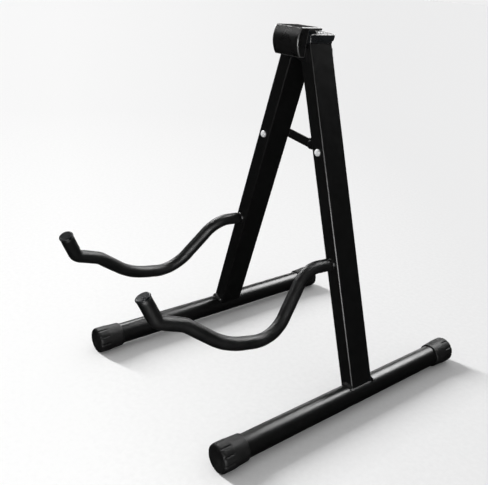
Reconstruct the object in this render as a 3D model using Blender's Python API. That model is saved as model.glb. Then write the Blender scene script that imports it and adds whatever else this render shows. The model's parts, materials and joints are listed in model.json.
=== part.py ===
"""Folding A-frame guitar stand.

Two rectangular leg tubes lean together and hinge at the top. Each leg stands on a round foot tube
with rubber tips, and carries an S-bent padded arm. A two-piece brace behind the legs locks the
stand open. Metres, +Z up, +X towards the right leg, -Y towards the arms.
"""

import math

import bmesh
import bpy
from mathutils import Matrix, Vector

# ---- overall layout ----
CENTRE_SHIFT_Y = 0.04476         # puts the middle of the stand's depth on the origin
GAP = 0.0003                     # clearance between touching pieces
FIT = 0.00007                    # radial clearance of a pin in its hole
LEG_TILT = math.radians(17.6)
FOOT_X = 0.130                   # foot tube axis, either side of the middle
FOOT_Z = 0.0149

# ---- foot tubes and rubber tips ----
FOOT_R = 0.0125
FOOT_WALL = 0.0015
FOOT_FRONT_Y = -0.1930           # outer end of the front tips
FOOT_REAR_Y = 0.1602             # outer end of the rear tips
TIP_LENGTH = 0.0305
TIP_END_WALL = 0.0040
TIP_R = 0.01525
TIP_RIM_R = 0.0139
TIP_GROOVES = 10
TIP_GROOVE_DEPTH = 0.0006
TIP_GROOVE_LENGTH = 0.0125

# ---- legs ----
LEG_WIDTH = 0.032                # front to back
LEG_THICK = 0.018
LEG_WALL = 0.0015
LEG_CORNER_R = 0.0020
LEG_TOP_S = 0.3878               # tube end, measured along the leg from the foot axis
LEG_CAP_TOP_Z = 0.3967
LEG_CAP_DOME = 0.0028
LEG_CAP_PLUG = 0.0038

# ---- top hinge ----
HINGE_Z = 0.378
HINGE_PIN_R = 0.0030
HINGE_EYE_R = 0.0054
SLEEVE_R = 0.0047
PLATE_THICK = 0.0016
RIVET_R = 0.0020
RIVET_Z = (0.3715, 0.3785)

# ---- bumper over the hinge ----
BUMPER_HALF_WIDTH = 0.0208
BUMPER_BOTTOM_Z = 0.3725
BUMPER_TOP_Z = 0.4034
BUMPER_EDGE_Y = -0.0285
BUMPER_BULGE = 0.0046
BUMPER_LID_THICK = 0.0032
BUMPER_LID_REAR_Y = 0.0008

# ---- brace ----
BOLT_Z = 0.276
BRACE_MID_Z = 0.2705
BRACE_HALF_WIDTH = 0.0053
BRACE_THICK = 0.0016
STOP_THICK = 0.0018                 # lip that stops the brace, and where it runs past the joint
STOP_START = 0.0060
STOP_END = 0.0130
EAR_START = -0.0045                 # ear of the left strap that carries the lip
PIVOT_R = 0.0030
PIVOT_HEAD_R = 0.0047
PIVOT_TAIL_R = 0.0040
MID_HEAD_R = 0.0050

# ---- padded arms: (outward, forward position, height above the root, bend radius) ----
ARM_ROOT_S = 0.1520              # where the arm leaves the leg
ARM_TILT = math.radians(15.0)    # lean of the plane that the arm is bent in
ARM_PATH = (
    (0.0, -0.0163, -0.0008, 0.0),
    (0.0, -0.0534, 0.0017, 0.0376),
    (0.0, -0.1055, -0.0601, 0.0433),
    (0.0, -0.1631, -0.0487, 0.0826),
    (0.0, -0.2039, -0.0162, 0.0355),
    (0.0, -0.2314, -0.0059, 0.0105),
    (0.0028, -0.2423, 0.0191, 0.0),
)
ARM_ROD_R = 0.0045
ARM_ROD_WALL = 0.0013
FOAM_R = 0.0070
FOAM_START = 0.0035              # bare rod left at the leg, for the weld
TIP_DISC_R = 0.0074
TIP_DISC_THICK = 0.0022
BEND_STEP = math.radians(13)

HALF_W = LEG_WIDTH / 2
HALF_T = LEG_THICK / 2
FRONT = -HALF_W
REAR = HALF_W


# ---------------------------------------------------------------- helpers

def make_material(name, colour, roughness, metallic=0.0):
    material = bpy.data.materials.new(name)
    material.use_nodes = True
    shader = material.node_tree.nodes["Principled BSDF"]
    shader.inputs["Base Color"].default_value = (*colour, 1.0)
    shader.inputs["Roughness"].default_value = roughness
    shader.inputs["Metallic"].default_value = metallic
    material.diffuse_color = (*colour, 1.0)
    return material


def finish_object(name, mesh, material, parent, smooth_angle=math.radians(35)):
    mesh.materials.append(material)
    mesh.shade_smooth()
    mesh.set_sharp_from_angle(angle=smooth_angle)
    obj = bpy.data.objects.new(name, mesh)
    bpy.context.collection.objects.link(obj)
    obj.parent = parent
    return obj


def mesh_from_bmesh(name, shape):
    bmesh.ops.recalc_face_normals(shape, faces=shape.faces)
    mesh = bpy.data.meshes.new(name)
    shape.to_mesh(mesh)
    shape.free()
    return mesh


def loft(name, rings, material, parent, cyclic=False):
    """Skin a list of equal rings. A cyclic loft joins the last ring back to the first."""
    shape = bmesh.new()
    loops = [[shape.verts.new(point) for point in ring] for ring in rings]
    pairs = list(zip(loops, loops[1:]))
    if cyclic:
        pairs.append((loops[-1], loops[0]))
    count = len(loops[0])
    for low, high in pairs:
        for i in range(count):
            j = (i + 1) % count
            shape.faces.new((low[i], low[j], high[j], high[i]))
    if not cyclic:
        shape.faces.new(loops[0])
        shape.faces.new(loops[-1])
    return finish_object(name, mesh_from_bmesh(name, shape), material, parent)


def circle(radius, count, turn=0.0):
    steps = [turn + 2 * math.pi * i / count for i in range(count)]
    return [(radius * math.cos(a), radius * math.sin(a)) for a in steps]


def y_ring(points, y, centre=(0.0, 0.0)):
    return [(centre[0] + x, y, centre[1] + z) for x, z in points]


def turned(name, profile, material, parent, count=24, centre=(0.0, 0.0)):
    """Round solid about a Y axis. The profile lists (y, radius) from one flat end to the other."""
    rings = [y_ring(circle(radius, count), y, centre) for y, radius in profile]
    return loft(name, rings, material, parent)


def washer(name, y_start, y_end, inner, outer, material, parent, centre, count=24):
    profile = ((y_start, outer), (y_end, outer), (y_end, inner), (y_start, inner))
    rings = [y_ring(circle(radius, count), y, centre) for y, radius in profile]
    return loft(name, rings, material, parent, cyclic=True)


def plate(name, outline, holes, y_start, y_end, material, parent):
    """Flat plate in the XZ plane with round holes, given as (x, z, radius)."""
    shape = bmesh.new()
    edges = []
    loops = [outline]
    loops += [[(x + dx, z + dz) for dx, dz in circle(radius, 20)] for x, z, radius in holes]
    for points in loops:
        verts = [shape.verts.new((x, y_start, z)) for x, z in points]
        edges += [shape.edges.new((verts[i - 1], verts[i])) for i in range(len(verts))]
    bmesh.ops.triangle_fill(shape, use_beauty=True, use_dissolve=False, edges=edges)
    grown = bmesh.ops.extrude_face_region(shape, geom=list(shape.faces))
    moved = [item for item in grown["geom"] if isinstance(item, bmesh.types.BMVert)]
    bmesh.ops.translate(shape, verts=moved, vec=(0, y_end - y_start, 0))
    return finish_object(name, mesh_from_bmesh(name, shape), material, parent)


def arc(centre, radius, start, end, count):
    """Points of an arc in degrees, from +X towards +Z."""
    angles = [math.radians(start + (end - start) * i / count) for i in range(count + 1)]
    return [(centre[0] + radius * math.cos(a), centre[1] + radius * math.sin(a)) for a in angles]


def rounded_rect(half_x, half_y, radius, steps=3):
    points = []
    for k, (sx, sy) in enumerate(((1, 1), (-1, 1), (-1, -1), (1, -1))):
        middle = (sx * (half_x - radius), sy * (half_y - radius))
        points += arc(middle, radius, 90 * k, 90 * (k + 1), steps)
    return points


def cut(target, cutter):
    """Subtract a helper solid that isn't part of the stand."""
    cutter.hide_render = True
    cutter.display_type = "WIRE"
    boolean = target.modifiers.new("cut_" + cutter.name, "BOOLEAN")
    boolean.operation = "DIFFERENCE"
    boolean.solver = "EXACT"
    boolean.object = cutter


def make_empty(name, location, parent=None, rotation=(0.0, 0.0, 0.0)):
    empty = bpy.data.objects.new(name, None)
    empty.empty_display_size = 0.02
    bpy.context.collection.objects.link(empty)
    empty.parent = parent
    empty.location = location
    empty.rotation_euler = rotation
    return empty


def leg_x(z):
    """Distance of the leg's centreline from the middle plane at height z."""
    return FOOT_X - (z - FOOT_Z) * math.tan(LEG_TILT)


def leg_s(z):
    """Position along the leg of the centreline point at height z."""
    return (z - FOOT_Z) / math.cos(LEG_TILT)


# ---------------------------------------------------------------- sub-parts

def build_foot(side, label, parent, mats):
    """Round foot tube with a rubber tip at each end, and the welds that hold the leg on it."""
    centre = (side * FOOT_X, FOOT_Z)
    front = FOOT_FRONT_Y + TIP_END_WALL + GAP
    rear = FOOT_REAR_Y - TIP_END_WALL - GAP
    inner = FOOT_R - FOOT_WALL
    washer(f"{label}_foot_tube", front, rear, inner, FOOT_R, mats["tube"], parent, centre, 36)
    for word, end, inward in (("front", FOOT_FRONT_Y, 1), ("rear", FOOT_REAR_Y, -1)):
        build_foot_tip(f"{label}_{word}_foot_tip", end, inward, centre, mats["rubber"], parent)
        build_leg_weld(f"{label}_{word}_leg_weld", -inward, side, centre, mats["weld"], parent)


def build_foot_tip(name, end, inward, centre, material, parent):
    """Rubber cup. Shallow grooves run in from its end, and its underside has a narrow flat."""
    sector = 2 * math.pi / TIP_GROOVES
    angles = []
    for k in range(TIP_GROOVES):
        angles += [(k + f) * sector for f in (0.0, 0.335, 0.5, 0.665)]

    def ring(depth, radius, groove):
        points = []
        for i, angle in enumerate(angles):
            angle -= math.pi / 2
            r = radius - (groove if i % 4 == 2 else 0.0)
            z = max(FOOT_Z + r * math.sin(angle), 0.0)
            points.append((centre[0] + r * math.cos(angle), end + inward * depth, z))
        return points

    bore = FOOT_R + GAP
    deep = TIP_GROOVE_DEPTH
    profile = (
        (TIP_END_WALL, bore, 0.0),
        (TIP_LENGTH, bore, 0.0),
        (TIP_LENGTH, TIP_RIM_R - 0.0003, 0.0),
        (TIP_LENGTH - 0.0007, TIP_RIM_R + 0.0003, 0.0),
        (TIP_GROOVE_LENGTH + 0.0020, TIP_R, 0.0),
        (TIP_GROOVE_LENGTH, TIP_R, deep),
        (0.0022, TIP_R, deep),
        (0.0007, TIP_R - 0.0009, deep),
        (0.0, TIP_R - 0.0025, 0.0),
    )
    return loft(name, [ring(*row) for row in profile], material, parent)


def build_leg_weld(name, facing, side, centre, material, parent):
    """Fillet weld where a narrow face of the leg meets the top of the foot tube."""
    face = facing * (HALF_W + 0.0001)
    base = FOOT_R + 0.0001
    section = ((0.0, 0.0), (0.0028, 0.0), (0.0021, 0.0013), (0.0010, 0.0021), (0.0, 0.0026))
    first, last, steps = -46, 36, 10
    rings = []
    for k in range(steps + 1):
        angle = math.radians(first + (last - first) * k / steps)
        swell = 1.0 + 0.12 * math.sin(2.6 * k)
        size = swell * (0.45 if k in (0, steps) else 1.0)
        ring = []
        for out, up in section:
            radius = base + up * size
            x = centre[0] + side * radius * math.sin(angle)
            ring.append((x, face + facing * out * size, centre[1] + radius * math.cos(angle)))
        rings.append(ring)
    return loft(name, rings, material, parent)


def build_leg(side, label, parent, mats):
    """Rectangular leg tube, notched over the foot tube and drilled for the brace and rivets."""
    outer = rounded_rect(HALF_T, HALF_W, LEG_CORNER_R)
    inner = rounded_rect(HALF_T - LEG_WALL, HALF_W - LEG_WALL, LEG_CORNER_R - LEG_WALL * 0.6)
    low = FOOT_R * 0.2
    rings = [
        [(x, y, s) for x, y in points]
        for points, s in ((outer, low), (outer, LEG_TOP_S), (inner, LEG_TOP_S), (inner, low))
    ]
    leg = loft(f"{label}_leg_tube", rings, mats["tube"], parent, cyclic=True)
    reach = LEG_WIDTH
    notch = turned(f"{label}_notch_cutter", ((-reach, FOOT_R + GAP), (reach, FOOT_R + GAP)),
                   mats["tube"], parent, 48)
    cut(leg, notch)
    holes = [(BOLT_Z, PIVOT_R + FIT)] + [(z, RIVET_R + FIT) for z in RIVET_Z]
    for k, (z, radius) in enumerate(holes):
        drill = turned(f"{label}_drill_cutter_{k}", ((-reach, radius), (reach, radius)),
                       mats["tube"], parent, 20, (0.0, leg_s(z)))
        cut(leg, drill)
    build_leg_cap(side, label, parent, mats["cap"])


def build_leg_cap(side, label, parent, material):
    """Domed plastic cap. It overhangs the tube on the outside and the back, and plugs into it."""
    slope = math.tan(LEG_TILT)
    foot = leg_s(LEG_CAP_TOP_Z)
    plug_half = (HALF_T - LEG_WALL - GAP, HALF_W - LEG_WALL - GAP)
    rings = []

    def ring(low_x, high_x, low_y, high_y, radius, s, level):
        half_x = (high_x - low_x) / 2
        half_y = (high_y - low_y) / 2
        mid_x = (high_x + low_x) / 2
        mid_y = (high_y + low_y) / 2
        points = []
        for x, y in rounded_rect(half_x, half_y, radius):
            along = s - (mid_x + x) * slope * level
            points.append((side * (mid_x + x), mid_y + y, along))
        return points

    plug_x, plug_y = plug_half
    base = LEG_TOP_S + GAP
    inside = -HALF_T + 0.0002
    rings.append(ring(-plug_x, plug_x, -plug_y, plug_y, 0.0010, LEG_TOP_S - LEG_CAP_PLUG, 0))
    rings.append(ring(-plug_x, plug_x, -plug_y, plug_y, 0.0010, base, 0))
    rings.append(ring(inside, HALF_T + 0.0010, FRONT, REAR + 0.0028, 0.0022, base, 0))
    rings.append(ring(inside + 0.0001, HALF_T + 0.0014, FRONT, REAR + 0.0034, 0.0022, base + 0.0030, 0.3))
    rings.append(ring(inside + 0.0014, HALF_T + 0.0018, FRONT + 0.0002, REAR + 0.0054, 0.0020, foot - 0.0010, 1))
    rings.append(ring(inside + 0.0022, HALF_T + 0.0013, FRONT + 0.0006, REAR + 0.0050, 0.0019, foot, 1))
    dome = foot + LEG_CAP_DOME * 0.65
    rings.append(ring(-HALF_T * 0.45, HALF_T * 0.72, FRONT * 0.72, REAR * 0.80, 0.0030, dome, 1))
    dome = foot + LEG_CAP_DOME
    rings.append(ring(-HALF_T * 0.15, HALF_T * 0.38, FRONT * 0.38, REAR * 0.44, 0.0016, dome, 1))
    return loft(f"{label}_leg_cap", rings, material, parent)


def filleted_path(corners):
    """Points along straight runs joined by round bends."""
    points = [Vector(corners[0][:3])]
    for before, here, after in zip(corners, corners[1:], corners[2:]):
        corner = Vector(here[:3])
        back = Vector(before[:3]) - corner
        ahead = Vector(after[:3]) - corner
        inside = back.angle(ahead)
        reach = min(here[3] / math.tan(inside / 2), back.length * 0.49, ahead.length * 0.49)
        radius = reach * math.tan(inside / 2)
        start = corner + back.normalized() * reach
        end = corner + ahead.normalized() * reach
        middle = corner + (back.normalized() + ahead.normalized()).normalized() * (
            radius / math.sin(inside / 2))
        steps = max(2, round((math.pi - inside) / BEND_STEP))
        for k in range(steps + 1):
            spoke = (start - middle).lerp(end - middle, k / steps).normalized()
            points.append(middle + spoke * radius)
    points.append(Vector(corners[-1][:3]))
    return points


def square_ring(centre, along, radius, count):
    """Circle about a point, square to a direction, that keeps one spoke near the X axis."""
    normal = along.normalized()
    wide = Vector((1.0, 0.0, 0.0))
    wide = (wide - normal * wide.dot(normal)).normalized()
    high = normal.cross(wide)
    return [centre + wide * a + high * b for a, b in circle(radius, count)]


def swept_rings(points, radius, count):
    """Circles of one radius set square to a path, but the first is upright."""
    rings = []
    for i, point in enumerate(points):
        before = points[i - 1] if i else point + Vector((0.0, 1.0, 0.0))
        after = points[i + 1] if 0 < i < len(points) - 1 else point
        rings.append(square_ring(point, after - before, radius, count))
    return rings


def trimmed(points, start):
    """The same path with a length taken off its first run."""
    return [points[0] + (points[1] - points[0]).normalized() * start] + points[1:]


def build_arm(side, label, parent, mats):
    """Bent tube welded to the leg's front, its foam sleeve, and the disc plug in its end."""
    path = filleted_path([(side * out, *rest) for out, *rest in ARM_PATH])
    inner = ARM_ROD_R - ARM_ROD_WALL
    rod = swept_rings(path, ARM_ROD_R, 10) + swept_rings(path, inner, 10)[::-1]
    loft(f"{label}_arm_tube", rod, mats["tube"], parent, cyclic=True)
    bare = trimmed(path, FOAM_START)
    sleeve = swept_rings(bare, FOAM_R, 16) + swept_rings(bare, ARM_ROD_R + GAP, 16)[::-1]
    loft(f"{label}_arm_foam", sleeve, mats["foam"], parent, cyclic=True)
    rise = (path[1].z - path[0].z) / (path[1].y - path[0].y)
    weld = ((0.0, 0.0066), (0.0013, 0.0063), (0.0027, 0.0052),
            (0.0027, ARM_ROD_R + 0.0002), (0.0, ARM_ROD_R + 0.0002))
    rings = []
    for out, radius in weld:
        y = FRONT - 0.0001 - out
        rings.append(y_ring(circle(radius, 18), y, (0.0, path[0].z + (y - path[0].y) * rise)))
    loft(f"{label}_arm_weld", rings, mats["weld"], parent, cyclic=True)
    build_arm_plug(f"{label}_arm_plug", path, inner - GAP, parent, mats["cap"])


def build_arm_plug(name, path, stem, parent, material):
    along = (path[-1] - path[-2]).normalized()
    thick = TIP_DISC_THICK
    profile = (
        (-0.0100, stem),
        (GAP, stem),
        (GAP, TIP_DISC_R - 0.0004),
        (GAP + 0.0004, TIP_DISC_R),
        (thick - 0.0006, TIP_DISC_R),
        (thick, TIP_DISC_R - 0.0007),
    )
    rings = [square_ring(path[-1] + along * offset, along, radius, 24) for offset, radius in profile]
    return loft(name, rings, material, parent)


def build_rivets(label, parent, material, tail):
    """Rivets that pass through the front plate, the leg and the rear plate."""
    for k, z in enumerate(RIVET_Z):
        profile = (
            (-tail, RIVET_R),
            (tail + 0.0003, RIVET_R),
            (tail + 0.0003, 0.0036),
            (tail + 0.0010, 0.0034),
            (tail + 0.0017, 0.0020),
        )
        turned(f"{label}_plate_rivet_{k + 1}", profile, material, parent, 16, (0.0, leg_s(z)))


def lug_outline(side):
    """Plate that reaches from the leg's face to the hinge pin."""
    low, high = RIVET_Z
    outer = (-leg_x(low) - 0.0042, low - 0.0034)
    points = [outer, (-leg_x(low) + 0.0040, low - 0.0034)]
    points += arc((0.0, HINGE_Z), HINGE_EYE_R, -75, 120, 10)
    points += [(-0.0046, high + 0.0030), (-leg_x(high) - 0.0040, high + 0.0034)]
    return [(-side * x, z) for x, z in points]


def bracket_outline():
    """Left front plate. Above the eye it widens into the backing of the bumper."""
    low, high = RIVET_Z
    top = BUMPER_TOP_Z - 0.0060
    wide = BUMPER_HALF_WIDTH - 0.0022
    points = [(-leg_x(low) - 0.0042, low - 0.0034), (-leg_x(low) + 0.0040, low - 0.0034)]
    points += arc((0.0, HINGE_Z), HINGE_EYE_R, -75, 60, 7)
    points += [(0.0062, 0.3870), (wide, 0.3870), (wide, top), (-wide, top)]
    points += [(-leg_x(high) - 0.0046, high + 0.0036)]
    return points


def rivet_holes(side):
    return [(side * leg_x(z), z, RIVET_R + FIT) for z in RIVET_Z]


def build_hinge(left, right, mats):
    """Two plates a side, lapped at the pin in front of the legs and behind them."""
    steel = mats["steel"]
    near = HALF_W + GAP
    inner = (near, near + PLATE_THICK)
    outer = (near + PLATE_THICK + GAP, near + 2 * PLATE_THICK + GAP)
    pin_hole = (0.0, HINGE_Z, HINGE_PIN_R + FIT)
    left_holes = rivet_holes(-1) + [pin_hole]
    right_holes = rivet_holes(1) + [pin_hole]
    plate("left_hinge_bracket", bracket_outline(), left_holes, -inner[1], -inner[0], steel, left)
    plate("left_rear_hinge_plate", lug_outline(-1), left_holes, inner[0], inner[1], steel, left)
    plate("right_front_hinge_plate", lug_outline(1), right_holes, -outer[1], -outer[0], steel, right)
    plate("right_rear_hinge_plate", lug_outline(1), right_holes, outer[0], outer[1], steel, right)
    low, high = RIVET_Z
    shim = [(leg_x(low) - 0.0036, low - 0.0032), (leg_x(low) + 0.0040, low - 0.0032),
            (leg_x(high) + 0.0036, high + 0.0032), (leg_x(high) - 0.0040, high + 0.0032)]
    plate("right_front_shim", shim, rivet_holes(1), -inner[1], -inner[0], steel, right)
    plate("right_rear_shim", shim, rivet_holes(1), inner[0], inner[1], steel, right)
    end = outer[1]
    pin = (
        (-end, HINGE_PIN_R),
        (end + GAP, HINGE_PIN_R),
        (end + GAP, 0.0052),
        (end + GAP + 0.0010, 0.0050),
        (end + GAP + 0.0020, 0.0036),
        (end + GAP + 0.0024, 0.0018),
    )
    turned("hinge_pin", pin, mats["bright"], left, 24, (0.0, HINGE_Z))
    washer("hinge_sleeve", FRONT, REAR, HINGE_PIN_R + GAP, SLEEVE_R, steel, left, (0.0, HINGE_Z))
    return end


def build_bumper(parent, material):
    """Rubber pad: a bulging front wall with a lid that reaches back over the leg caps."""
    middle = (BUMPER_BOTTOM_Z + BUMPER_TOP_Z) / 2
    half = (BUMPER_TOP_Z - BUMPER_BOTTOM_Z) / 2
    lid_low = BUMPER_TOP_Z - BUMPER_LID_THICK
    steps = 10
    outline = []
    for k in range(steps + 1):
        z = BUMPER_BOTTOM_Z + 2 * half * k / steps
        bulge = BUMPER_BULGE * (1 - ((z - middle) / half) ** 2)
        outline.append((BUMPER_EDGE_Y - bulge, z))
    outline += [(BUMPER_LID_REAR_Y, BUMPER_TOP_Z), (BUMPER_LID_REAR_Y, lid_low)]
    outline += [(-0.0182, lid_low), (-0.0182, 0.3965), (-0.0203, 0.3840), (-0.0212, BUMPER_BOTTOM_Z)]
    shape = bmesh.new()
    ring = [shape.verts.new((-BUMPER_HALF_WIDTH, y, z)) for y, z in outline]
    face = shape.faces.new(ring)
    grown = bmesh.ops.extrude_face_region(shape, geom=[face])
    moved = [item for item in grown["geom"] if isinstance(item, bmesh.types.BMVert)]
    bmesh.ops.translate(shape, verts=moved, vec=(2 * BUMPER_HALF_WIDTH, 0, 0))
    pad = finish_object("hinge_bumper", mesh_from_bmesh("hinge_bumper", shape), material, parent)
    rounding = pad.modifiers.new("edge_rounding", "BEVEL")
    rounding.width = 0.0011
    rounding.segments = 2
    rounding.limit_method = "ANGLE"
    rounding.angle_limit = math.radians(40)
    return pad


def build_pivot(label, parent, material, strap_end):
    """Pivot rivet of the brace: domed head in front, shank through the leg, low head behind."""
    head = FRONT - GAP
    tail = strap_end + GAP
    profile = (
        (head - 0.0026, 0.0016),
        (head - 0.0022, 0.0030),
        (head - 0.0013, 0.0042),
        (head - 0.0004, PIVOT_HEAD_R),
        (head, PIVOT_HEAD_R),
        (head, PIVOT_R),
        (tail, PIVOT_R),
        (tail, PIVOT_TAIL_R),
        (tail + 0.0006, PIVOT_TAIL_R - 0.0004),
        (tail + 0.0010, PIVOT_TAIL_R - 0.0014),
    )
    turned(f"{label}_brace_pivot", profile, material, parent, 24, (0.0, leg_s(BOLT_Z)))


def brace_axes(side):
    """Bolt, middle joint, and the directions along one strap to the joint and square to it."""
    bolt = Vector((side * leg_x(BOLT_Z), BOLT_Z))
    middle = Vector((0.0, BRACE_MID_Z))
    along = (middle - bolt).normalized()
    return bolt, middle, along, Vector((side * along.y, -side * along.x))


def stop_point(out, up):
    """Point over the right strap's top edge, measured from the joint towards the right bolt."""
    _, middle, along, square = brace_axes(1)
    return tuple(middle - along * out + square * up)


def brace_outline(side):
    """Straight strap from the bolt to the middle joint. The left one has an ear for the stop."""
    bolt, middle, along, up = brace_axes(side)
    half = BRACE_HALF_WIDTH
    lean = math.degrees(math.atan2(-along.y, -side * along.x))
    ends = [(side * x, z) for x, z in arc((side * bolt.x, bolt.y), half, lean - 90, lean + 90, 8)]
    if side > 0:
        return ends + arc(middle, half, lean + 90, lean + 270, 8)
    ends.append(tuple(middle - along * 0.0070 + up * half))
    ear = half + GAP + STOP_THICK
    ends += [stop_point(EAR_START, ear), stop_point(STOP_END, ear), stop_point(STOP_END, 0.0035)]
    return ends + [(-x, z) for x, z in arc(middle, half, lean + 150, lean + 270, 7)]


def build_stop(name, y_front, y_rear, material, parent):
    """Lip of the left strap. It rests over the right strap's top edge and stops the brace."""
    low = BRACE_HALF_WIDTH + GAP
    high = low + STOP_THICK
    corners = ((STOP_START, low), (STOP_END, low), (STOP_END, high), (STOP_START, high))
    outline = [stop_point(out, up) for out, up in corners]
    return plate(name, outline, [], y_front, y_rear, material, parent)


def mid_rivet(name, strap_y, facing, material, parent):
    """Half of the middle joint's rivet: a shank through one strap and a head on its free side."""
    inner, face = strap_y if facing > 0 else strap_y[::-1]
    head = face + facing * GAP
    profile = (
        (inner, PIVOT_R),
        (head, PIVOT_R),
        (head, MID_HEAD_R),
        (head + facing * 0.0006, MID_HEAD_R - 0.0003),
        (head + facing * 0.0012, MID_HEAD_R - 0.0014),
        (head + facing * 0.0015, MID_HEAD_R - 0.0030),
    )
    turned(name, profile, material, parent, 24, (0.0, BRACE_MID_Z))


def build_brace(left, right, mats):
    """Two straps behind the legs, lapped at a riveted joint in the middle."""
    steel = mats["steel"]
    right_y = (REAR + GAP, REAR + GAP + BRACE_THICK)
    left_y = (right_y[1] + GAP, right_y[1] + GAP + BRACE_THICK)
    for side, span, body, label in ((-1, left_y, left, "left"), (1, right_y, right, "right")):
        holes = [(side * leg_x(BOLT_Z), BOLT_Z, PIVOT_R + FIT), (0.0, BRACE_MID_Z, PIVOT_R + FIT)]
        plate(f"{label}_brace_strap", brace_outline(side), holes, *span, steel, body)
    build_stop("left_brace_stop", right_y[0], right_y[1] + GAP * 0.5, steel, left)
    mid_rivet("left_brace_rivet", left_y, 1, steel, left)
    mid_rivet("right_brace_rivet", right_y, -1, steel, right)
    return left_y, right_y


def build_stand():
    mats = {
        "tube": make_material("black_paint", (0.012, 0.012, 0.013), 0.34, 0.0),
        "steel": make_material("black_steel", (0.016, 0.016, 0.017), 0.45, 0.0),
        "bright": make_material("zinc_steel", (0.72, 0.72, 0.70), 0.28, 1.0),
        "weld": make_material("painted_weld", (0.020, 0.020, 0.021), 0.40, 0.0),
        "rubber": make_material("grey_rubber", (0.022, 0.022, 0.022), 0.62, 0.0),
        "bumper": make_material("bumper_rubber", (0.016, 0.017, 0.017), 0.42, 0.0),
        "foam": make_material("black_foam", (0.015, 0.015, 0.015), 0.75, 0.0),
        "cap": make_material("black_plastic", (0.018, 0.019, 0.022), 0.45, 0.0),
    }
    root = make_empty("stand_origin", (0.0, CENTRE_SHIFT_Y, 0.0))
    hinge = Vector((0.0, 0.0, HINGE_Z))
    fold_joint = make_empty("right_frame_joint", hinge, root)
    right_root = make_empty("right_frame", -hinge, fold_joint)
    frames = {"left": root, "right": right_root}
    legs = {}
    for label, side in (("left", -1), ("right", 1)):
        legs[label] = make_empty(f"{label}_leg_axis", (side * FOOT_X, 0.0, FOOT_Z), frames[label],
                                 (0.0, -side * LEG_TILT, 0.0))
        build_foot(side, label, frames[label], mats)
        build_leg(side, label, legs[label], mats)
        arm = make_empty(f"{label}_arm_axis", (0.0, 0.0, ARM_ROOT_S), legs[label],
                         (0.0, side * (LEG_TILT - ARM_TILT), 0.0))
        build_arm(side, label, arm, mats)
    plate_end = build_hinge(root, right_root, mats)
    for label in legs:
        tail = plate_end if label == "right" else plate_end - PLATE_THICK - GAP
        build_rivets(label, legs[label], mats["steel"], tail)
    build_bumper(root, mats["bumper"])
    pivot = Vector((leg_x(BOLT_Z), 0.0, BOLT_Z))
    left_joint = make_empty("left_brace_joint", (-pivot.x, 0.0, pivot.z), root)
    left_link = make_empty("left_brace", (pivot.x, 0.0, -pivot.z), left_joint)
    right_joint = make_empty("right_brace_joint", pivot, right_root)
    right_link = make_empty("right_brace", -pivot, right_joint)
    left_y, right_y = build_brace(left_link, right_link, mats)
    build_pivot("left", legs["left"], mats["bright"], left_y[1])
    build_pivot("right", legs["right"], mats["bright"], right_y[1])
    washer("left_brace_spacer", REAR + GAP, left_y[0] - GAP, PIVOT_R + FIT, 0.0060, mats["bright"],
           legs["left"], (0.0, leg_s(BOLT_Z)))


for existing in list(bpy.data.objects):
    bpy.data.objects.remove(existing, do_unlink=True)
build_stand()
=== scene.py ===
"""Folding A-frame guitar stand: the look of each part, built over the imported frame.

Metres, +Z up, +X towards the right leg, -Y towards the arm tips. The script repeats the stand's
driving sizes, builds finer visual pieces over them, and lights the stand on a pale floor.
"""

import json
import math

import bmesh
import bpy
from mathutils import Matrix, Vector, noise


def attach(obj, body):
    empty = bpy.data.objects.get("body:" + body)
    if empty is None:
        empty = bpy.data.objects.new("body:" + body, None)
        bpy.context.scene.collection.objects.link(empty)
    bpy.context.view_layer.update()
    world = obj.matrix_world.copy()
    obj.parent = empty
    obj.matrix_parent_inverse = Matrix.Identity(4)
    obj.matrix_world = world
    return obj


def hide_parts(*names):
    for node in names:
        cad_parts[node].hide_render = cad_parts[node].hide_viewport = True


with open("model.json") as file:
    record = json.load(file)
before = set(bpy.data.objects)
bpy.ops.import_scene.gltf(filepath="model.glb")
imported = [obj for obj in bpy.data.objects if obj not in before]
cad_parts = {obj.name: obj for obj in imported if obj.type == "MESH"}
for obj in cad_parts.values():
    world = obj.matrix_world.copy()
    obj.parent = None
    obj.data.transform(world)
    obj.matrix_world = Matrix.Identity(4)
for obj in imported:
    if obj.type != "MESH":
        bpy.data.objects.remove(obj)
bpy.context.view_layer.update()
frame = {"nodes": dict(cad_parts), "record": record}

# ---- sizes shared with the frame ----
SHIFT_Y = 0.04476                # puts the middle of the stand's depth on the origin
GAP = 0.0003                     # clearance between touching pieces
LEG_TILT = math.radians(17.6)
FOOT_X = 0.130
FOOT_Z = 0.0149
FOOT_R = 0.0125
FOOT_FRONT_Y = -0.1930
FOOT_REAR_Y = 0.1602
TIP_LENGTH = 0.0305
TIP_END_WALL = 0.0040
TIP_R = 0.01525
TIP_RIM_R = 0.0139
TIP_GROOVES = 10
TIP_GROOVE_LENGTH = 0.0125
TIP_GROOVE_DEPTH = 0.0009
HALF_W = 0.016                   # half of the leg tube, front to back
HALF_T = 0.009
FRONT = -HALF_W
REAR = HALF_W
LEG_CORNER_R = 0.0020
LEG_TOP_S = 0.3878
LEG_CAP_TOP_Z = 0.3967
LEG_CAP_DOME = 0.0028
BUMPER_HALF_WIDTH = 0.0208
BUMPER_BOTTOM_Z = 0.3725
BUMPER_TOP_Z = 0.4034
BUMPER_EDGE_Y = -0.0285
BUMPER_BULGE = 0.0046
BUMPER_LID_THICK = 0.0032
BUMPER_LID_REAR_Y = 0.0008
BUMPER_BACK = ((-0.0182, 0.3965), (-0.0203, 0.3840), (-0.0212, BUMPER_BOTTOM_Z))
PIVOT_Z = 0.276
BRACE_MID_Z = 0.2705
BRACE_THICK = 0.0016
PIVOT_HEAD_R = 0.0040
PIVOT_TAIL_R = 0.0040
MID_HEAD_R = 0.0050
SHANK_R = 0.0030
ARM_ROOT_S = 0.1520
ARM_TILT = math.radians(15.0)
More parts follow.
